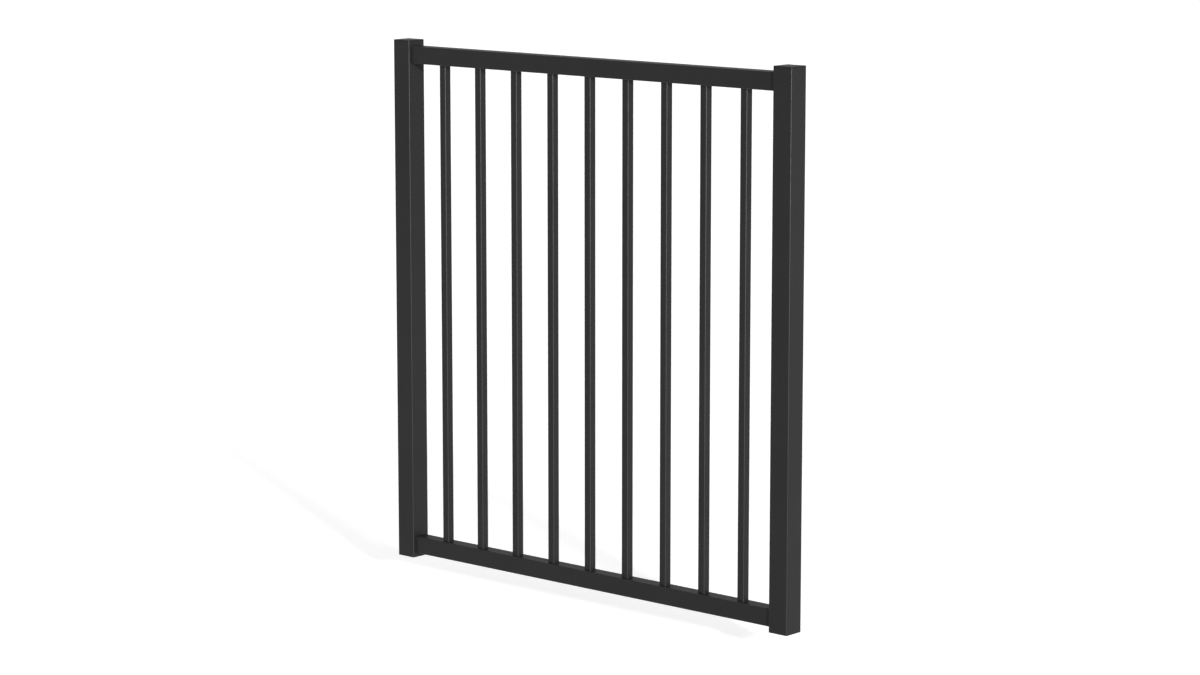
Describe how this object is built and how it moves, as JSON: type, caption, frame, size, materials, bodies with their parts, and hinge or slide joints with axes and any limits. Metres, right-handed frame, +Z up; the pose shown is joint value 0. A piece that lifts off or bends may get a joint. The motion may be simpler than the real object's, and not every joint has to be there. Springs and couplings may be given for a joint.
{
  "type": "fence gate leaf",
  "caption": "Flat-topped fence gate leaf of black square steel tube: capped uprights, a top and a bottom rail, and evenly spaced square pickets let into the rails.",
  "frame": {"origin": "foot of the left upright's flat outer face, on its middle line", "axes": "+X runs along the gate from the left upright to the right one, +Y points through it from front to back, +Z is up; the picture shows the front and the right-hand faces"},
  "size_m": [1.17, 0.05, 1.219],
  "materials": {
    "powder_coat": "black powder coat with a fine satin texture",
    "cap_plastic": "black moulded plastic, satin",
    "plug_plastic": "black moulded plastic, dull"
  },
  "bodies": {
    "root": {"left_upright": "powder_coat", "right_upright": "powder_coat", "bottom_rail": "powder_coat", "top_rail": "powder_coat", "picket_1": "powder_coat", "picket_2": "powder_coat", "picket_3": "powder_coat", "picket_4": "powder_coat", "picket_5": "powder_coat", "picket_6": "powder_coat", "picket_7": "powder_coat", "picket_8": "powder_coat", "picket_9": "powder_coat", "bottom_rail_left_weld": "powder_coat", "bottom_rail_right_weld": "powder_coat", "top_rail_left_weld": "powder_coat", "top_rail_right_weld": "powder_coat", "left_top_cap": "cap_plastic", "right_top_cap": "cap_plastic", "left_foot_plug": "plug_plastic", "right_foot_plug": "plug_plastic"}
  },
  "joints": []
}
